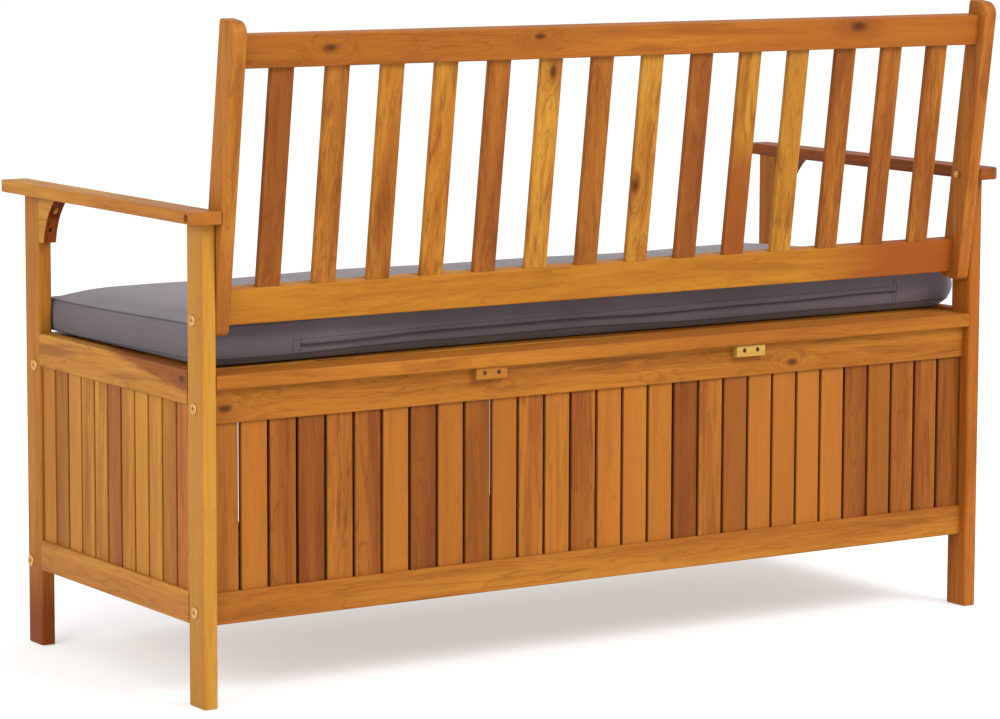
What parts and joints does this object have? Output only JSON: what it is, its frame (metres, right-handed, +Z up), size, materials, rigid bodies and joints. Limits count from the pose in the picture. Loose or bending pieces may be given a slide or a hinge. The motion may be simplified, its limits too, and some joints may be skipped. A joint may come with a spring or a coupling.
{
  "type": "garden storage bench",
  "caption": "Slatted hardwood garden storage bench with a leaning slatted back, flat arms, a hinged lid over a boarded box and a loose dark grey seat cushion.",
  "frame": {"origin": "on the ground, under the middle of the four legs (the middle of the whole box lies 8 mm further toward the back, because the back leans)", "axes": "+Z up; -Y is the front, where a person sits facing; +Y is the back; +X is the bench's long direction, and pieces named right are at +X"},
  "size_m": [1.412, 0.6326, 0.9476],
  "materials": {
    "acacia_frame": "oiled, satin",
    "acacia_boards": "oiled, satin",
    "acacia_slats": "oiled, satin",
    "plain_inner_wood": "sawn",
    "cushion_fabric": "woven polyester",
    "bolt_zinc": "yellow zinc plated",
    "screw_steel": "zinc plated",
    "brass": "satin"
  },
  "bodies": {
    "frame": {"arm_bolts": "bolt_zinc", "arm_bracket_left": "acacia_frame", "arm_bracket_right": "acacia_frame", "arm_left": "acacia_frame", "arm_nuts": "bolt_zinc", "arm_right": "acacia_frame", "back_low_rail": "acacia_frame", "back_post_left": "acacia_frame", "back_post_right": "acacia_frame", "back_slat_01": "acacia_slats", "back_slat_02": "acacia_slats", "back_slat_03": "acacia_slats", "back_slat_04": "acacia_slats", "back_slat_05": "acacia_slats", "back_slat_06": "acacia_slats", "back_slat_07": "acacia_slats", "back_slat_08": "acacia_slats", "back_slat_09": "acacia_slats", "back_slat_10": "acacia_slats", "back_slat_11": "acacia_slats", "back_slat_12": "acacia_slats", "back_slat_13": "acacia_slats", "back_slat_14": "acacia_slats", "back_top_rail": "acacia_frame", "barrel_nuts": "bolt_zinc", "bracket_screws": "screw_steel", "cleat_screws": "screw_steel", "dowels": "plain_inner_wood", "floor_bearers": "plain_inner_wood", "floor_boards": "acacia_boards", "frame_bolts": "bolt_zinc", "front_bottom_rail": "acacia_frame", "front_leg_left": "acacia_frame", "front_leg_right": "acacia_frame", "front_panel_boards": "acacia_boards", "front_top_rail": "acacia_frame", "hinge_leaves_seat": "brass", "hinge_pins": "brass", "hinge_screws_seat": "brass", "rear_bottom_rail": "acacia_frame", "rear_leg_left": "acacia_frame", "rear_leg_right": "acacia_frame", "rear_panel_boards": "acacia_boards", "rear_seat_board": "acacia_frame", "rear_top_rail": "acacia_frame", "seat_board_cleats": "acacia_frame", "side_bottom_rail_left": "acacia_frame", "side_bottom_rail_right": "acacia_frame", "side_panel_boards_left": "acacia_boards", "side_panel_boards_right": "acacia_boards", "side_top_rail_left": "acacia_frame", "side_top_rail_right": "acacia_frame"},
    "lid": {"lid_boards": "acacia_boards", "lid_battens": "plain_inner_wood", "batten_screws": "screw_steel", "hinge_leaves_lid": "brass", "hinge_screws_lid": "brass"},
    "cushion": {"cushion": "cushion_fabric"}
  },
  "joints": [
    {"name": "lid_hinge", "type": "hinge", "parent": "frame", "child": "lid", "pos_m": [0, 0.20975, 0.4585], "axis": [-1, 0, 0], "range_deg": [0, 95]},
    {"name": "cushion_lift", "type": "slide", "parent": "frame", "child": "cushion", "axis": [0, 0, 1], "range_m": [0, 0.85]}
  ],
  "couplings": [
    {"joint": "cushion_lift", "follows": "lid_hinge", "m_per_rad": 0.5}
  ]
}
